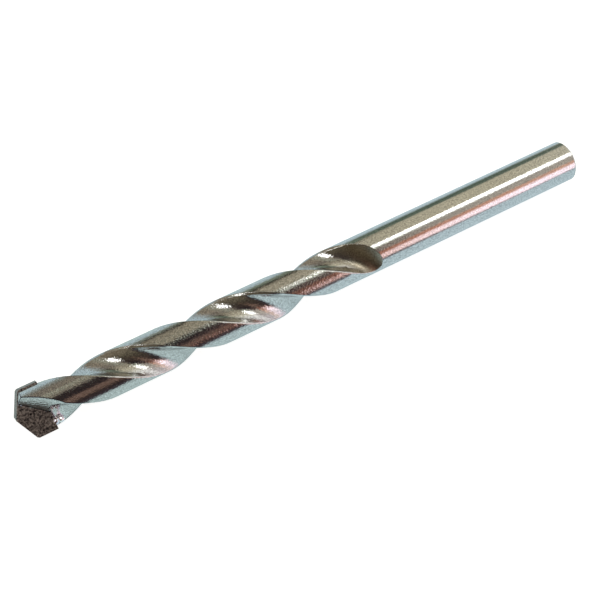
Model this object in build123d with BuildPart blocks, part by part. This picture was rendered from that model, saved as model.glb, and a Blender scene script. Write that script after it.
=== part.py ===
from build123d import *
from math import cos, degrees, radians, sin, sqrt, tan
import os

# Masonry drill bit, lying on its side. +X runs along its axis and out of the shank's end,
# the origin is the centre of that end, and the point is at -X. Millimetres and degrees.

# The drill as a whole
overall_length = 150.0
body_dia = 10.3           # of the shank, and of the bar before it is milled
front_dia = 10.24         # the lands are ground very slightly thinner towards the point
shank_length = 57.0
fluted_length = 92.0      # from the point to where the flutes have run out
shank_chamfer = 0.4
overrun = 1.0             # how far the cutters and the blanks start ahead of the point

# The two flutes
lead = 57.0               # one full right-hand turn of the flutes
flute_angle = 92.0        # the flute's share of the circle, from edge to edge
core_dia = 4.5            # what is left between the two flutes
edge_bevel = 0.22         # narrow bevel along a land's leading edge
heel_bevel = 0.42         # the same along its heel
runout_radius = 14.0      # of the milling wheel that leaves the flute's end
runout_spread = 2.0       # how much wider the wheel's round gets on its way out of the steel
runout_steps = 8

# The carbide plate
tip_dia = 12.0
plate_thickness = 2.4
plate_side = 4.7          # length of its straight sides
point_angle = 127.0
point_relief = 12.0       # how steeply the roof falls away behind a cutting edge
side_relief = 11.0        # the same for the plate's two sides
corner_bevel = 0.3
plate_slant = 24.0        # from the ground to the plate's width, as the drill lies
flute_advance = 3.0       # from the plate to the leading edge, at the plate's rear

# The seat of the plate
braze_gap = 0.15
steel_setback = 0.15      # the steel's end is ground this far behind the roof
gash_slope = 39.0         # the slant of the wall ground in front of the plate, from the axis
gash_reach = 2.1          # from the plate's outer corners to where that wall crosses the axis
gash_draft = 35.0         # how far the wall leans open
bead_radius = 0.9         # drops of braze behind the plate's outer corners
bead_across = 4.1         # from the axis to the drops
# behind the plate's rear, and from its middle plane
bead_places = ((0.1, 0.5), (1.5, -0.45))

# Worked out from the above
body_radius = body_dia / 2
tip_radius = tip_dia / 2
roof_slope = 1 / tan(radians(point_angle / 2))
corner_reach = sqrt(tip_radius**2 - (plate_thickness / 2)**2)
relief_drop = plate_thickness / 2 * tan(radians(point_relief))
point_x = -overall_length
roof_x = point_x - relief_drop                     # where the two cutting edges would meet
corner_x = roof_x + corner_reach * roof_slope
plate_rear_x = corner_x + plate_side
flute_end_x = point_x + fluted_length
gash_x = corner_x + gash_reach
cutter_front_x = point_x - overrun
wheel_depth = body_radius - core_dia / 2 + heel_bevel
outside = tip_dia                                  # well clear of the drill


def at(radius, angle):
    """A point of a cross-section, from its radius and its angle."""
    return (radius * cos(radians(angle)), radius * sin(radians(angle)))


# Cross-sections look along +X, from +Y round to +Z. The plate's own plane has its first
# direction across the drill and its second through the plate's thickness.
plate_plane = Plane(
    origin=(0, 0, 0),
    x_dir=(0, cos(radians(plate_slant)), sin(radians(plate_slant))),
    z_dir=(1, 0, 0),
)

# The face of the plate that leads the cut on the near half: its first direction runs back
# along the drill, its second across it and its third out of the plate.
gash_plane = Plane(
    origin=plate_plane.from_local_coords((0, plate_thickness / 2, 0)),
    x_dir=(1, 0, 0),
    z_dir=plate_plane.y_dir,
)


def flute_middle(x):
    """The angle of the flute's middle at a place along the drill."""
    leading_edge = plate_slant + flute_advance + 360 * (x - plate_rear_x) / lead
    return leading_edge - flute_angle / 2


def flute_section(x, lift):
    """What the milling wheel takes at x, raised by lift: a round gullet with two narrow bevels."""
    middle = flute_middle(x)
    half = flute_angle / 2
    bevel_turn = degrees(edge_bevel / body_radius)
    heel_turn = degrees(heel_bevel / body_radius)
    spread = 1 + runout_spread * lift / wheel_depth

    def corner(radius, angle):
        out, aside = at(radius, angle)
        out_y, out_z = at(out + lift, middle)
        aside_y, aside_z = at(aside * spread, middle + 90)
        return (out_y + aside_y, out_z + aside_z)

    edge_wall = corner(body_radius - edge_bevel, half)
    heel_wall = corner(body_radius - heel_bevel, -half)
    edge_land = corner(body_radius + edge_bevel, half + 2 * bevel_turn)
    heel_land = corner(body_radius + heel_bevel, -half - 2 * heel_turn)
    with BuildSketch(Plane.YZ.offset(x)) as section:
        with BuildLine():
            ThreePointArc(heel_wall, corner(core_dia / 2, 0), edge_wall)
            Polyline(
                edge_wall,
                edge_land,
                corner(outside, half),
                corner(outside, -half),
                heel_land,
                heel_wall,
            )
        make_face()
    return section.sketch


# The flutes' cutter. It follows the lead, and then the wheel lifts out of the steel.
runout_length = sqrt(runout_radius**2 - (runout_radius - wheel_depth)**2)
runout_x = flute_end_x - runout_length

with BuildPart() as flute_cutter:
    with BuildLine(mode=Mode.PRIVATE) as axis_line:
        Line((cutter_front_x, 0, 0), (runout_x, 0, 0))
    with BuildLine(mode=Mode.PRIVATE) as lead_line:
        Helix(
            pitch=lead,
            height=runout_x - cutter_front_x,
            radius=body_radius,
            center=(cutter_front_x, 0, 0),
            direction=(1, 0, 0),
        )
    add(flute_section(cutter_front_x, 0))
    sweep(path=axis_line.wire(), binormal=lead_line.wire())

with BuildPart() as runout_cutter:
    for step in range(runout_steps + 1):
        along = runout_length * step / runout_steps
        add(flute_section(runout_x + along, runout_radius - sqrt(runout_radius**2 - along**2)))
    loft()


def grind_roof(setback):
    """Cut the part in hand back to the two roof faces, set back by an amount."""
    for side in (1, -1):
        roof_face = Plane(
            origin=plate_plane.from_local_coords(
                (0, -side * plate_thickness / 2, roof_x + setback)
            ),
            z_dir=plate_plane.from_local_coords(
                Vector(-side * roof_slope, -side * tan(radians(point_relief)), 1)
            ),
        )
        split(bisect_by=roof_face, keep=Keep.TOP)


def plate_section(x, clearance):
    """The plate's cross-section at x, with a clearance all round."""
    thick = plate_thickness / 2 + clearance
    reach = corner_reach + clearance
    drop = 2 * thick * tan(radians(side_relief))
    with BuildSketch(plate_plane.offset(x)) as section:
        with BuildLine():
            Polyline(
                (reach, -thick),
                (reach - drop, thick),
                (-reach, thick),
                (drop - reach, -thick),
                close=True,
            )
        make_face()
    return section.sketch


def is_outer_corner(edge):
    """Whether an edge of the plate is where the roof meets one of its two sides."""
    across, _, along = plate_plane.to_local_coords(edge.center())
    ahead = along < (corner_x + plate_rear_x) / 2
    return ahead and abs(across) > corner_reach / 2 and edge.length < 1.2 * plate_thickness


# The carbide plate, one sintered piece
with BuildPart() as carbide_tip:
    add(plate_section(cutter_front_x, 0))
    extrude(amount=plate_rear_x - cutter_front_x, dir=(1, 0, 0))
    grind_roof(0)
    outer_corners = carbide_tip.edges().filter_by(is_outer_corner)
    chamfer(outer_corners, corner_bevel)

# What is ground away in front of one half of the plate, flush with the plate's face
with BuildPart() as gash:
    with BuildSketch(gash_plane):
        with BuildLine():
            Polyline(
                (cutter_front_x, -outside),
                (cutter_front_x, (gash_x - cutter_front_x) * tan(radians(gash_slope))),
                (gash_x + outside / tan(radians(gash_slope)), -outside),
                close=True,
            )
        make_face()
    extrude(amount=outside, taper=-gash_draft)

# The steel bar with its flutes and its ground end, before the slot for the plate is cut
with BuildPart() as fluted_bar:
    with BuildSketch(Plane.XZ):
        with BuildLine():
            Polyline(
                (point_x, 0),
                (point_x, front_dia / 2),
                (-shank_length, body_radius),
                (-shank_chamfer, body_radius),
                (0, body_radius - shank_chamfer),
                (0, 0),
                close=True,
            )
        make_face()
    revolve(axis=Axis.X)
    with Locations(Location((0, 0, 0)), Location((0, 0, 0), (180, 0, 0))):
        add(flute_cutter.part, mode=Mode.SUBTRACT)
        add(runout_cutter.part, mode=Mode.SUBTRACT)
        add(gash.part, mode=Mode.SUBTRACT)
    grind_roof(steel_setback)

# The slot that is milled across the end for the plate and its braze
with BuildPart() as slot:
    add(plate_section(cutter_front_x, braze_gap))
    extrude(amount=plate_rear_x + braze_gap - cutter_front_x, dir=(1, 0, 0))

# The body, one piece of steel
with BuildPart() as drill_body:
    add(fluted_bar.part)
    add(slot.part, mode=Mode.SUBTRACT)

# The braze fills the slot round the plate and has come out as drops behind its corners
with BuildPart() as braze_joint:
    add(slot.part)
    add(fluted_bar.part, mode=Mode.INTERSECT)
    for behind, aside in bead_places:
        for side in (1, -1):
            drop = (-side * bead_across, side * aside, plate_rear_x + behind)
            with Locations(plate_plane.from_local_coords(drop)):
                Sphere(bead_radius)
    add(carbide_tip.part, mode=Mode.SUBTRACT)
    add(drill_body.part, mode=Mode.SUBTRACT)

os.makedirs("parts", exist_ok=True)
drill_body.part.label = "drill_body"
export_step(drill_body.part, "parts/drill_body.step")
carbide_tip.part.label = "carbide_tip"
export_step(carbide_tip.part, "parts/carbide_tip.step")
braze_joint.part.label = "braze_joint"
export_step(braze_joint.part, "parts/braze_joint.step")
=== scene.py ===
# %% [markdown]
# # A masonry drill bit
# The solid model gives the true shape: a plated steel bar with two twisted flutes, a carbide plate
# across the point and the braze that holds it. This lesson gives those solids their surfaces, and
# sets up the paper, the lights and the camera of a product photograph. The solids are loaded first,
# because every place below is measured from them. Lengths are in metres.

# %% Load the solid model
import math

import bpy
from mathutils import Matrix, Vector


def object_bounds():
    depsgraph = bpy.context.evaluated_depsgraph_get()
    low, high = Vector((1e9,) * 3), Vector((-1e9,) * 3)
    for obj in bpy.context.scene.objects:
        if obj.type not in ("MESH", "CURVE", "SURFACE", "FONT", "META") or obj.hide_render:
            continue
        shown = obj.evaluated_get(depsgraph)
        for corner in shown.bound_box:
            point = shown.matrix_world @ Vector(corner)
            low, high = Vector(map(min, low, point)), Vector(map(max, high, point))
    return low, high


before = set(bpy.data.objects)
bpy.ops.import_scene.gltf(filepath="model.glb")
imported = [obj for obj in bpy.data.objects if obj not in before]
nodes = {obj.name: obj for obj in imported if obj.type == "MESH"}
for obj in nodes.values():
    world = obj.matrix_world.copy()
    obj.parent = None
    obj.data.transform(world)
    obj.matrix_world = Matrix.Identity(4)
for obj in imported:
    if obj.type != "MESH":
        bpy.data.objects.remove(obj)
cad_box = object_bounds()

print("nodes:", sorted(nodes))
print("solid box in mm:", [[round(v * 1000, 2) for v in corner] for corner in cad_box])

# %% [markdown]
# ## The camera
# The photograph looks down at the drill from about 61 degrees above the table, with a fairly long
# lens and the camera turned a little on its own axis. A camera can be placed by its location and the
# point it looks at; what is left is the roll about that line, which is one more rotation. That reads
# better than three rotation angles, and each number can be changed alone.

# %% Camera
camera_place = Vector((-0.16497, -0.10622, 0.23677))
camera_aim = Vector((-0.08053, -0.00350, 0.0))
camera_roll = math.radians(10.15)

lens = bpy.data.cameras.new("camera")
lens.sensor_width = 36.0
lens.lens = 70.0
lens.clip_start = 0.01
camera = bpy.data.objects.new("camera", lens)
bpy.context.collection.objects.link(camera)
sight = camera_aim - camera_place
camera.matrix_world = (
    Matrix.Translation(camera_place)
    @ sight.to_track_quat("-Z", "Y").to_matrix().to_4x4()
    @ Matrix.Rotation(camera_roll, 4, "Z")
)
bpy.context.scene.camera = camera
down = math.degrees(math.asin(-sight.normalized().z))
print("camera looks down by", round(down, 1), "degrees")

# %% [markdown]
# ## Short ways to write nodes
# Everything below is shader nodes, and a node tree written out link by link is hard to read. A few
# small functions let a formula be written as a formula. One feeds a socket, whether with a link from
# another node or with a plain value. The others each add one node and return it or its output.

# %% Helpers for nodes
def feed(tree, socket, value):
    """Gives an input a link, a colour of three numbers, or one number."""
    if isinstance(value, bpy.types.NodeSocket):
        tree.links.new(value, socket)
    elif isinstance(value, tuple):
        socket.default_value = (*value, 1)
    else:
        socket.default_value = value


def add(tree, kind, settings=(), **inputs):
    """Adds a shader node, sets its attributes and feeds its named inputs. Returns the node."""
    node = tree.nodes.new(kind)
    for name, value in dict(settings).items():
        setattr(node, name, value)
    for name, value in inputs.items():
        feed(tree, node.inputs[name.replace("_", " ")], value)
    return node


def math_node(tree, operation, *values):
    """A Math node. Returns its output."""
    node = add(tree, "ShaderNodeMath", {"operation": operation})
    for socket, value in zip(node.inputs, values):
        feed(tree, socket, value)
    return node.outputs[0]


def axes_of(tree, vector):
    """The X, Y and Z of a vector."""
    return add(tree, "ShaderNodeSeparateXYZ", Vector=vector).outputs


def smooth_step(tree, value, start, end):
    """Rises smoothly from 0 to 1 as value goes from start to end. Returns its output."""
    smooth = {"interpolation_type": "SMOOTHSTEP"}
    node = add(tree, "ShaderNodeMapRange", smooth, Value=value, From_Min=start, From_Max=end)
    return node.outputs["Result"]


def mix_colours(tree, factor, under, over):
    """A Mix node for colours, whose two colour inputs are its 6 and 7. Returns its output."""
    node = add(tree, "ShaderNodeMix", {"data_type": "RGBA"}, Factor=factor)
    feed(tree, node.inputs[6], under)
    feed(tree, node.inputs[7], over)
    return node.outputs[2]


def mix_shaders(tree, factor, under, over):
    """A Mix Shader node. Returns its output."""
    node = add(tree, "ShaderNodeMixShader")
    for socket, value in zip(node.inputs, (factor, under, over)):
        feed(tree, socket, value)
    return node.outputs[0]


def camera_sees(tree, seen, mirrored):
    """Shows the camera one shader and every other ray another. Returns the output."""
    camera_ray = add(tree, "ShaderNodeLightPath").outputs["Is Camera Ray"]
    return mix_shaders(tree, camera_ray, mirrored, seen)

# %% [markdown]
# ## The paper
# The drill lies on a sheet of white paper that fills the picture. The sheet is one flat face just
# under the drill. Photographers expose such a picture until the paper burns out, and the metal still
# mirrors it as a cool light grey. Light Path tells the two apart: the camera sees nearly white paper,
# and every other ray a dimmer glow. A real sheet also ends somewhere, and beside the drill it lies in
# the drill's own shade. Both come from the place on the sheet, so that they need no further faces.

# %% Paper
paper_half = 1.5                          # from the sheet's middle to its sides
paper_z = cad_box[0][2]
paper_white = 0.9
burn_out = 0.8                            # what the camera sees beyond the light on the paper
far_edge = 0.035                          # the metal mirrors paper up to here, behind the drill
near_edge = -0.074                        # and up to here in front of it,
near_edge_slant = 0.3                     # nearer to the drill at the point
grey_at_point, point_place = (0.57, 0.71, 0.70), -0.145
grey_at_shank, shank_place = (0.625, 0.775, 0.83), -0.03
shade_glow = 0.88                         # of the paper in the drill's shade
shade_half, shade_end = 0.0045, 0.0065    # across the sheet, from the drill's axis

paper_mesh = bpy.data.meshes.new("paper")
square = ((-1, -1), (1, -1), (1, 1), (-1, 1))
corners = [(x * paper_half, y * paper_half, paper_z) for x, y in square]
paper_mesh.from_pydata(corners, [], [(0, 1, 2, 3)])
paper = bpy.data.objects.new("paper", paper_mesh)
bpy.context.collection.objects.link(paper)

paper_material = bpy.data.materials.new("white_paper")
paper_material.use_nodes = True
tree = paper_material.node_tree
tree.nodes.clear()
matt = add(tree, "ShaderNodeBsdfDiffuse", Color=(paper_white, paper_white, paper_white))
bright = add(tree, "ShaderNodeEmission", Color=(1.0, 1.0, 1.0), Strength=burn_out)
seen_paper = add(tree, "ShaderNodeAddShader")
feed(tree, seen_paper.inputs[0], matt.outputs[0])
feed(tree, seen_paper.inputs[1], bright.outputs[0])

along, across, _ = axes_of(tree, add(tree, "ShaderNodeNewGeometry").outputs["Position"])
to_the_shank = smooth_step(tree, along, point_place, shank_place)
grey = mix_colours(tree, to_the_shank, grey_at_point, grey_at_shank)
off_the_axis = math_node(tree, "ABSOLUTE", across)
open_paper = smooth_step(tree, off_the_axis, shade_half, shade_end)
strength = math_node(tree, "MULTIPLY_ADD", open_paper, 1 - shade_glow, shade_glow)
glow = add(tree, "ShaderNodeEmission", Color=grey, Strength=strength)

slanted = math_node(tree, "MULTIPLY_ADD", along, near_edge_slant, across)
behind_near_edge = math_node(tree, "GREATER_THAN", slanted, near_edge)
before_far_edge = math_node(tree, "LESS_THAN", across, far_edge)
on_the_sheet = math_node(tree, "MULTIPLY", behind_near_edge, before_far_edge)
nothing = add(tree, "ShaderNodeBsdfTransparent")
mirrored_paper = mix_shaders(tree, on_the_sheet, nothing.outputs[0], glow.outputs[0])

chosen = camera_sees(tree, seen_paper.outputs[0], mirrored_paper)
add(tree, "ShaderNodeOutputMaterial", Surface=chosen)
paper_mesh.materials.append(paper_material)
print("paper at", round(paper_z * 1000, 2), "mm")

# %% [markdown]
# ## What the metal mirrors
# A bright drill has hardly any colour of its own: its stripes are a squeezed picture of the room. So
# the room is built as a world whose colour depends on the direction. One angle runs from the near
# horizon (0) over the top (90) to the far one (180), across the drill. The other measure is how far a
# direction leans along the drill: the point mirrors leans of about 0.1, and the shank's end 0.5. The
# camera itself sees none of this, only a plain white backdrop.

# %% Directions
world = bpy.data.worlds.new("studio")
bpy.context.scene.world = world
world.use_nodes = True
sky = world.node_tree
sky.nodes.clear()

lean, sideways, up = axes_of(sky, add(sky, "ShaderNodeTexCoord").outputs["Generated"])
towards_us = math_node(sky, "MULTIPLY", sideways, -1.0)
rise = math_node(sky, "ARCTAN2", up, towards_us)
degrees = math_node(sky, "MULTIPLY", rise, 180 / math.pi)
under_far_horizon = math_node(sky, "LESS_THAN", degrees, -90.0)
angle = math_node(sky, "MULTIPLY_ADD", under_far_horizon, 360.0, degrees)    # from -90 to 270
lean_place = math_node(sky, "MULTIPLY_ADD", lean, 0.5, 0.5)                  # from 0 to 1
print("world measures directions with", len(sky.nodes), "nodes")

# %% [markdown]
# ## The room
# Two broad colours come first, a dark front and a tan back. Strips are laid over them one by one, as
# with cut paper: a warm window low in front, a lamp overhead, dark edges and a wall low at the back. A
# strip has soft sides, may run at a slant, and may be there only for a part of the drill. Its colour
# may change along the drill too, which a Color Ramp over the lean gives. A photograph of a room could
# do the same work, but smooth strips can be moved one at a time until each stripe on the metal fits.

# %% Helpers for the room
low_lean, high_lean = 0.1, 0.5    # a strip's sides are given as their angles at these two leans


def by_lean(*stops):
    """A colour that changes with the lean along the drill. stops are (lean, colour)."""
    node = add(sky, "ShaderNodeValToRGB", Fac=lean_place)
    elements = node.color_ramp.elements
    while len(elements) > 1:
        elements.remove(elements[-1])
    for number, (at, colour) in enumerate(stops):
        place = 0.5 + 0.5 * at
        if number == 0:
            stop = elements[0]
            stop.position = place
        else:
            stop = elements.new(place)
        stop.color = (*colour, 1)
    return node.outputs[0]


def strip(under, colour, front, back, soft, appears=None, leaves=None):
    """Lays a strip over the rest of the room. front and back are its two sides, each as (angle at
    low_lean, angle at high_lean), and soft is how many degrees they blur. appears and leaves are
    the leans over which the strip fades in and out."""
    def past(side):
        slope = (side[1] - side[0]) / (high_lean - low_lean)
        side_here = math_node(sky, "MULTIPLY_ADD", lean, slope, side[0] - low_lean * slope)
        return math_node(sky, "SUBTRACT", angle, side_here)

    after_front = smooth_step(sky, past(front), -soft, soft)
    before_back = smooth_step(sky, past(back), soft, -soft)
    mask = math_node(sky, "MULTIPLY", after_front, before_back)
    for fade in (appears, leaves):
        if fade:
            mask = math_node(sky, "MULTIPLY", mask, smooth_step(sky, lean, *fade))
    return mix_colours(sky, mask, under, colour)

# %% [markdown]
# ## The colours of the room
# Each list runs along the drill, from what the point mirrors to what the shank's end mirrors, and a
# bit beyond both for the hollow flutes, which look further round. The colours of the strips that stay
# the same all along the drill follow them. Colours above 1 are brighter than white paper.

# %% Colours of the room
front_room = by_lean(
    (-1.0, (0.24, 0.20, 0.14)),
    (-0.6, (0.24, 0.20, 0.14)),
    (-0.45, (0.14, 0.12, 0.08)),
    (-0.3, (0.08, 0.063, 0.045)),
    (0.05, (0.05, 0.034, 0.03)),
    (0.12, (0.03, 0.018, 0.02)),
    (0.21, (0.012, 0.018, 0.02)),
    (0.31, (0.10, 0.055, 0.05)),
    (0.36, (0.14, 0.09, 0.08)),
    (0.42, (0.50, 0.45, 0.38)),
    (0.60, (0.55, 0.50, 0.43)),
    (0.75, (0.60, 0.54, 0.50)),
    (0.88, (0.75, 0.68, 0.70)),
)
back_room = by_lean(
    (-1.0, (0.20, 0.17, 0.12)),
    (-0.2, (0.33, 0.28, 0.21)),
    (0.1, (0.21, 0.18, 0.15)),
    (0.21, (0.37, 0.33, 0.23)),
    (0.32, (0.43, 0.38, 0.29)),
    (0.40, (0.60, 0.55, 0.40)),
    (0.53, (0.62, 0.57, 0.42)),
    (0.58, (0.80, 0.77, 0.64)),
    (0.75, (1.1, 1.08, 1.05)),
)
window = by_lean(
    (-1.0, (0.24, 0.20, 0.14)),
    (-0.6, (0.22, 0.17, 0.12)),
    (-0.45, (0.19, 0.14, 0.09)),
    (-0.19, (0.11, 0.075, 0.05)),
    (0.1, (0.22, 0.14, 0.10)),
    (0.21, (0.18, 0.12, 0.10)),
    (0.31, (0.28, 0.11, 0.075)),
    (0.34, (0.66, 0.29, 0.21)),
    (0.40, (1.45, 1.08, 1.02)),
    (0.49, (1.80, 1.45, 1.58)),
    (0.62, (1.5, 1.3, 1.38)),
    (0.9, (1.1, 0.95, 1.05)),
)
window_side = by_lean(
    (-1.0, (0.24, 0.20, 0.14)),
    (-0.6, (0.27, 0.22, 0.15)),
    (-0.45, (0.17, 0.14, 0.09)),
    (-0.19, (0.11, 0.075, 0.05)),
    (0.1, (0.24, 0.15, 0.115)),
    (0.21, (0.21, 0.15, 0.12)),
    (0.31, (0.06, 0.02, 0.015)),
    (0.34, (0.15, 0.05, 0.035)),
    (0.40, (0.62, 0.28, 0.19)),
    (0.49, (0.82, 0.45, 0.31)),
    (0.9, (1.1, 0.9, 0.8)),
)
lamp = by_lean(
    (0.2, (0.8, 0.85, 0.68)),
    (0.34, (0.85, 0.90, 0.72)),
    (0.49, (1.5, 1.5, 1.45)),
)
far_wall = by_lean(
    (-0.1, (0.45, 0.50, 0.48)),
    (0.1, (0.30, 0.31, 0.27)),
    (0.3, (0.26, 0.30, 0.22)),
    (0.5, (0.15, 0.195, 0.15)),
    (0.56, (0.60, 0.58, 0.48)),
    (0.75, (0.75, 0.72, 0.64)),
)
table_edge = by_lean(
    (0.1, (0.05, 0.04, 0.045)),
    (0.34, (0.10, 0.08, 0.10)),
    (0.42, (0.30, 0.28, 0.30)),
    (0.50, (0.55, 0.52, 0.56)),
)
pale_ceiling = (0.40, 0.40, 0.31)
window_sill = (0.055, 0.04, 0.035)
top_of_wall = (0.03, 0.025, 0.02)
wall_in_shade = (0.13, 0.17, 0.13)
cool_floor = (0.53, 0.66, 0.70)

print("colours that change along the drill:", len([n for n in sky.nodes if n.type == "VALTORGB"]))

# %% [markdown]
# ## Laying the strips
# The order matters, as with cut paper: a later strip hides what lies under it. One list holds all of
# them, so that a strip can be moved, taken out or laid earlier by changing one line.

# %% Lay the strips
front_ends, back_starts = 80, 90    # degrees, between them one half of the room fades to the other

far_side = smooth_step(sky, angle, front_ends, back_starts)
room = mix_colours(sky, far_side, front_room, back_room)
for layer in (
    # colour, its front and back sides, their softness, and over which leans it appears and leaves
    (pale_ceiling, (97, 97), (113, 113), 8, (0.17, 0.12)),
    (window_side, (23, 0), (46, 44), 5),
    (window, (23, -1), (28, 27), 6),
    (window_sill, (-9, -9), (23, 23), 4, (0.14, 0.19), (0.29, 0.25)),
    (lamp, (66, 73), (90, 89), 3, (0.25, 0.34), (0.64, 0.56)),
    (far_wall, (150, 151), (260, 260), 6),
    (top_of_wall, (150, 128), (165, 145), 3, (0.13, 0.19), (0.38, 0.34)),
    (wall_in_shade, (153, 153), (180, 180), 5, (0.34, 0.40), (0.60, 0.54)),
    (cool_floor, (170, 185), (300, 300), 6),
    (table_edge, (-30, -30), (1, 1), 2),
):
    room = strip(room, *layer)

mirrored_room = add(sky, "ShaderNodeBackground", Color=room)
backdrop = add(sky, "ShaderNodeBackground", Color=(1.0, 1.0, 1.0))
chosen = camera_sees(sky, backdrop.outputs[0], mirrored_room.outputs[0])
add(sky, "ShaderNodeOutputWorld", Surface=chosen)
print("world has", len(sky.nodes), "nodes")

# %% [markdown]
# ## The lamps
# One soft box hangs overhead beyond the shank, and a smaller lamp stands on the side of the point.
# They light the paper, and the metal shows each of them as a white patch: a long stripe on the round
# shank, a short one in a hollow flute. They could be strips of the world too, but a lamp that stands
# near by lights each part of the drill from its own side. They are area lights, because their size
# sets the size of the patch.

# %% Lamps
def soft_box(name, place, aim, sides, watts, colour):
    """A rectangular area light, turned towards a point, with its first side along the drill."""
    light = bpy.data.lights.new(name, "AREA")
    light.shape = "RECTANGLE"
    light.size, light.size_y = sides
    light.energy = watts
    light.color = colour
    holder = bpy.data.objects.new(name, light)
    bpy.context.collection.objects.link(holder)
    back = (Vector(place) - Vector(aim)).normalized()
    first_side = (Vector((1, 0, 0)) - back * back.x).normalized()
    second_side = back.cross(first_side)
    turned = Matrix((first_side, second_side, back)).transposed().to_4x4()
    holder.matrix_world = Matrix.Translation(place) @ turned
    print(name, "at", place, "of", watts, "W")


soft_box(
    "overhead_box",
    place=(0.62, -0.12, 1.2),
    aim=(-0.03, 0, 0),
    sides=(0.34, 0.26),
    watts=0.95,
    colour=(1.0, 0.99, 0.96),
)
soft_box(
    "small_lamp",
    place=(-0.52, -0.04, 1.2),
    aim=(-0.10, 0, 0),
    sides=(0.29, 0.29),
    watts=1.28,
    colour=(1.0, 1.0, 0.97),
)

# %% [markdown]
# ## Where the surface is ground
# The lands and the shank were ground, and the flutes were milled and only plated. Both are one mesh,
# so the material must find out where it is. The distance from the drill's axis tells: everything at
# the full radius is ground. Painting a mask by hand would do it too, but would have to be painted
# again when the shape changes. This is a node group, so that any other finish can ask the same.

# %% Helpers for groups
def new_group(name, inputs, outputs):
    """A shader node group with named sockets. inputs are (name, default number), outputs are (name,
    kind). Returns the group, the values that it is given and the sockets for its results."""
    group = bpy.data.node_groups.new(name, "ShaderNodeTree")
    for title, default in inputs:
        socket = group.interface.new_socket(title, in_out="INPUT", socket_type="NodeSocketFloat")
        socket.default_value = default
    for title, kind in outputs:
        group.interface.new_socket(title, in_out="OUTPUT", socket_type=kind)
    return group, add(group, "NodeGroupInput").outputs, add(group, "NodeGroupOutput").inputs


def use_group(tree, group, **inputs):
    """Places a node group in a material with its own values. Returns its outputs."""
    return add(tree, "ShaderNodeGroup", {"node_tree": group}, **inputs).outputs


def object_place(tree):
    """Where a point of the surface is, in the drill's own frame."""
    return add(tree, "ShaderNodeTexCoord").outputs["Object"]

# %% Group: ground surface
ground_group, given, result = new_group(
    "ground_surface",
    [("Full Radius", 0.005)],
    [("Ground", "NodeSocketFloat")],
)
_, y, z = axes_of(ground_group, object_place(ground_group))
y_squared = math_node(ground_group, "POWER", y, 2.0)
z_squared = math_node(ground_group, "POWER", z, 2.0)
squares = math_node(ground_group, "ADD", y_squared, z_squared)
distance = math_node(ground_group, "SQRT", squares)
at_full_radius = math_node(ground_group, "GREATER_THAN", distance, given["Full Radius"])
feed(ground_group, result["Ground"], at_full_radius)
print(ground_group.name, "has", len(ground_group.nodes), "nodes")

# %% [markdown]
# ## Grain
# Under the plating the steel keeps a fine grain, which breaks the highlights into specks. Small noise
# does this. It can be stretched along the drill, where a wheel or a belt has left lines. The carbide
# and the braze use the same group with their own sizes.

# %% Group: grain
noise_dark, noise_light = 0.35, 0.65    # the noise hardly leaves this span, and specks fill 0 to 1

grain_group, given, result = new_group(
    "grain",
    [("Grains Per Metre", 5000.0), ("Stretch", 1.0), ("Detail", 2.0)],
    [("Height", "NodeSocketFloat"), ("Specks", "NodeSocketFloat")],
)
scaling = add(grain_group, "ShaderNodeVectorMath", {"operation": "MULTIPLY"})
stretch = add(grain_group, "ShaderNodeCombineXYZ", X=given["Stretch"], Y=1.0, Z=1.0)
feed(grain_group, scaling.inputs[0], object_place(grain_group))
feed(grain_group, scaling.inputs[1], stretch.outputs[0])
noise = add(
    grain_group,
    "ShaderNodeTexNoise",
    Vector=scaling.outputs[0],
    Scale=given["Grains Per Metre"],
    Detail=given["Detail"],
    Roughness=0.6,
)
contrast = add(
    grain_group,
    "ShaderNodeMapRange",
    Value=noise.outputs[0],
    From_Min=noise_dark,
    From_Max=noise_light,
)
feed(grain_group, result["Height"], noise.outputs[0])
feed(grain_group, result["Specks"], contrast.outputs["Result"])
print(grain_group.name, "has", len(grain_group.nodes), "nodes")

# %% [markdown]
# ## Edges
# No real edge is a perfect corner: grinding and plating leave it a little round, and a round edge
# catches light as a thin line. The solids have sharp corners, and cutting real rounds into their
# meshes would change them. The Bevel node rounds only the shading. It bends the normal near an edge,
# and how far it bends it also tells where the edges are.

# %% Group: edges
flat_agreement, edge_agreement = 0.995, 0.97    # of the bent normal with the real one, 1 at most

edge_group, given, result = new_group(
    "edges",
    [("Radius", 0.0003)],
    [("Normal", "NodeSocketVector"), ("Edge", "NodeSocketFloat")],
)
rounded = add(edge_group, "ShaderNodeBevel", {"samples": 6}, Radius=given["Radius"])
agreement = add(edge_group, "ShaderNodeVectorMath", {"operation": "DOT_PRODUCT"})
feed(edge_group, agreement.inputs[0], rounded.outputs[0])
feed(edge_group, agreement.inputs[1], add(edge_group, "ShaderNodeNewGeometry").outputs["Normal"])
edge = smooth_step(edge_group, agreement.outputs["Value"], flat_agreement, edge_agreement)
feed(edge_group, result["Normal"], rounded.outputs[0])
feed(edge_group, result["Edge"], edge)
print(edge_group.name, "has", len(edge_group.nodes), "nodes")

# %% [markdown]
# ## Plated steel
# Nickel over ground and milled steel: fully metallic, light grey and smooth. Coarse and fine grain
# together feed a Bump node, more strongly on the fluted part than on the well ground shank. Two
# places look different. The ends of the flutes are rougher, and a dark brown tint there is painted
# shade that dims what they mirror. The edges round the plate are darkened, partly a braze seam and
# partly painted shade in the creases. Both are masks made from the place along the drill. They could
# be materials of their own on chosen faces, but a mask can fade, and a face can't.

# %% Helper for materials
def new_material(name, metallic):
    """A material with a Principled BSDF. Returns it, its node tree and the shader's inputs."""
    material = bpy.data.materials.new(name)
    material.use_nodes = True
    inputs = material.node_tree.nodes["Principled BSDF"].inputs
    inputs["Metallic"].default_value = metallic
    return material, material.node_tree, inputs

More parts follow.
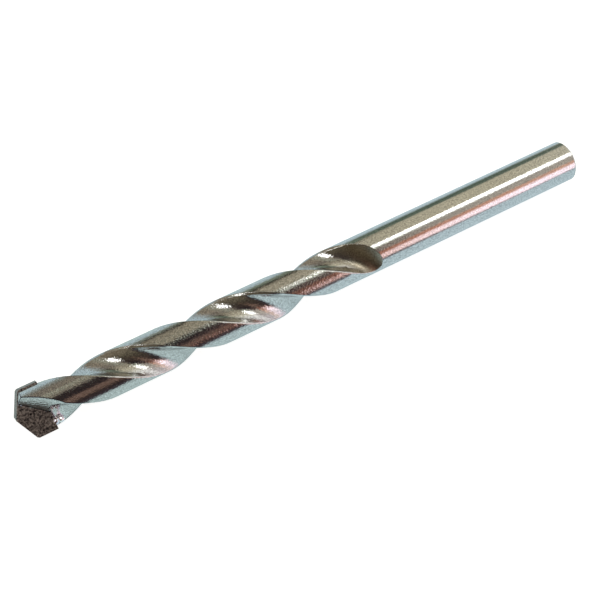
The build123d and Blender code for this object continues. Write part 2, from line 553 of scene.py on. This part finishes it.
# %% Material: plated steel
full_radius = 0.00508                         # the ground lands reach further out than this
runout_from, runout_to = -0.0685, -0.0640     # along the drill
# Between these places the edges round the plate are darkened: a braze seam and painted shade in the
# creases.
seam_and_shade_from, seam_and_shade_to = -0.1340, -0.1365
shank_from, shank_to = -0.085, -0.055
flute_bump, shank_bump = 0.62, 0.27
fine_share = 0.5                              # of the fine grain's height, beside the coarse one's
plating_dark, plating_light = (0.44, 0.44, 0.44), (0.81, 0.81, 0.80)
# The run-out's dark brown colours are painted shade: they dim the lamp and the paper that the flutes'
# ends mirror.
runout_shade_dark, runout_shade_light = (0.24, 0.20, 0.15), (0.50, 0.46, 0.37)
# The dark of the braze seam and of the painted shade along the plate's edges.
seam_and_shade_colour = (0.05, 0.045, 0.07)
plated_roughness, runout_roughness_adds, specks_add = 0.08, 0.20, 0.03

steel, tree, shader = new_material("plated_steel", 1.0)
where = use_group(tree, ground_group, Full_Radius=full_radius)
fine = use_group(tree, grain_group, Grains_Per_Metre=5000.0, Stretch=0.8, Detail=1.5)
coarse = use_group(tree, grain_group, Grains_Per_Metre=2400.0, Stretch=0.9, Detail=1.0)
edges = use_group(tree, edge_group, Radius=0.0003)
wide_edges = use_group(tree, edge_group, Radius=0.0005)
along = axes_of(tree, object_place(tree))["X"]

plated = mix_colours(tree, fine["Specks"], plating_dark, plating_light)
# Painted shade: the run-out is tinted dark brown.
shaded_runout_tint = mix_colours(tree, fine["Specks"], runout_shade_dark, runout_shade_light)
milled = math_node(tree, "SUBTRACT", 1.0, where["Ground"])
near_runout = smooth_step(tree, along, runout_from, runout_to)
runout = math_node(tree, "MULTIPLY", near_runout, milled)
skin = mix_colours(tree, runout, plated, shaded_runout_tint)
# Painted shade, with a braze seam: the edges near the plate are darkened.
near_plate = smooth_step(tree, along, seam_and_shade_from, seam_and_shade_to)
seam_and_shade = math_node(tree, "MULTIPLY", wide_edges["Edge"], near_plate)
feed(tree, shader["Base Color"], mix_colours(tree, seam_and_shade, skin, seam_and_shade_colour))

skin_roughness = math_node(tree, "MULTIPLY_ADD", runout, runout_roughness_adds, plated_roughness)
roughness = math_node(tree, "MULTIPLY_ADD", fine["Specks"], specks_add, skin_roughness)
feed(tree, shader["Roughness"], roughness)

on_the_shank = smooth_step(tree, along, shank_from, shank_to)
bump_change = shank_bump - flute_bump
bump = add(
    tree,
    "ShaderNodeBump",
    Strength=math_node(tree, "MULTIPLY_ADD", on_the_shank, bump_change, flute_bump),
    Distance=0.00006,
    Height=math_node(tree, "MULTIPLY_ADD", fine["Height"], fine_share, coarse["Height"]),
    Normal=edges["Normal"],
)
feed(tree, shader["Normal"], bump.outputs[0])
print(steel.name, "has", len(tree.nodes), "nodes")

# %% [markdown]
# ## Carbide
# Sintered tungsten carbide is a dark, metal-like ceramic. Its faces are ground but stay dull beside
# the plating. A dull plastic-like shader would be too even, because the real plate glitters a little,
# so it is a dark metal, rougher than the plating and with a coarser grain in colour and in bump.

# %% Material: carbide
carbide_dark, carbide_light = (0.01, 0.005, 0.01), (0.45, 0.39, 0.365)
carbide_roughness, specks_add = 0.26, 0.15

carbide, tree, shader = new_material("carbide", 0.9)
grain = use_group(tree, grain_group, Grains_Per_Metre=2600.0, Stretch=1.0, Detail=3.0)
edges = use_group(tree, edge_group, Radius=0.0002)
tint = mix_colours(tree, grain["Specks"], carbide_dark, carbide_light)
roughness = math_node(tree, "MULTIPLY_ADD", grain["Specks"], specks_add, carbide_roughness)
bump = add(
    tree,
    "ShaderNodeBump",
    Strength=0.6,
    Distance=0.0001,
    Height=grain["Height"],
    Normal=edges["Normal"],
)
feed(tree, shader["Base Color"], tint)
feed(tree, shader["Roughness"], roughness)
feed(tree, shader["Normal"], bump.outputs[0])
print(carbide.name, "has", len(tree.nodes), "nodes")

# %% [markdown]
# ## Braze
# The braze froze as it ran out, so it is bright and lumpy. The lumps could be modelled, but they are
# smaller than a millimetre: the drops themselves are solids, and large soft noise adds the rest.

# %% Material: braze
braze_violet, braze_white = (0.85, 0.78, 0.95), (1.0, 1.0, 0.97)
braze_roughness, specks_add = 0.18, -0.08

braze, tree, shader = new_material("braze", 1.0)
grain = use_group(tree, grain_group, Grains_Per_Metre=850.0, Stretch=1.0, Detail=1.0)
tint = mix_colours(tree, grain["Specks"], braze_violet, braze_white)
roughness = math_node(tree, "MULTIPLY_ADD", grain["Specks"], specks_add, braze_roughness)
bump = add(tree, "ShaderNodeBump", Strength=0.9, Distance=0.0006, Height=grain["Height"])
feed(tree, shader["Base Color"], tint)
feed(tree, shader["Roughness"], roughness)
feed(tree, shader["Normal"], bump.outputs[0])
print(braze.name, "has", len(tree.nodes), "nodes")

# %% [markdown]
# ## Dress the solids
# Each solid is one piece of the real drill and gets one finish, in its own material slots. The meshes
# stay as they came.

# %% Assign the finishes
for name, finish in (("drill_body", steel), ("carbide_tip", carbide), ("braze_joint", braze)):
    piece = nodes[name]
    for held in piece.material_slots:
        held.material = finish
    print(name, "has", len(piece.data.polygons), "faces and", len(piece.material_slots), "slots")

# %% [markdown]
# ## The film
# The photograph has full contrast and a burnt-out white ground, as a small camera gives it. The plain
# display curve does that; a filmic one would turn the paper grey.

# %% Display curve
bpy.context.scene.view_settings.view_transform = "Standard"
print("display curve:", bpy.context.scene.view_settings.view_transform)
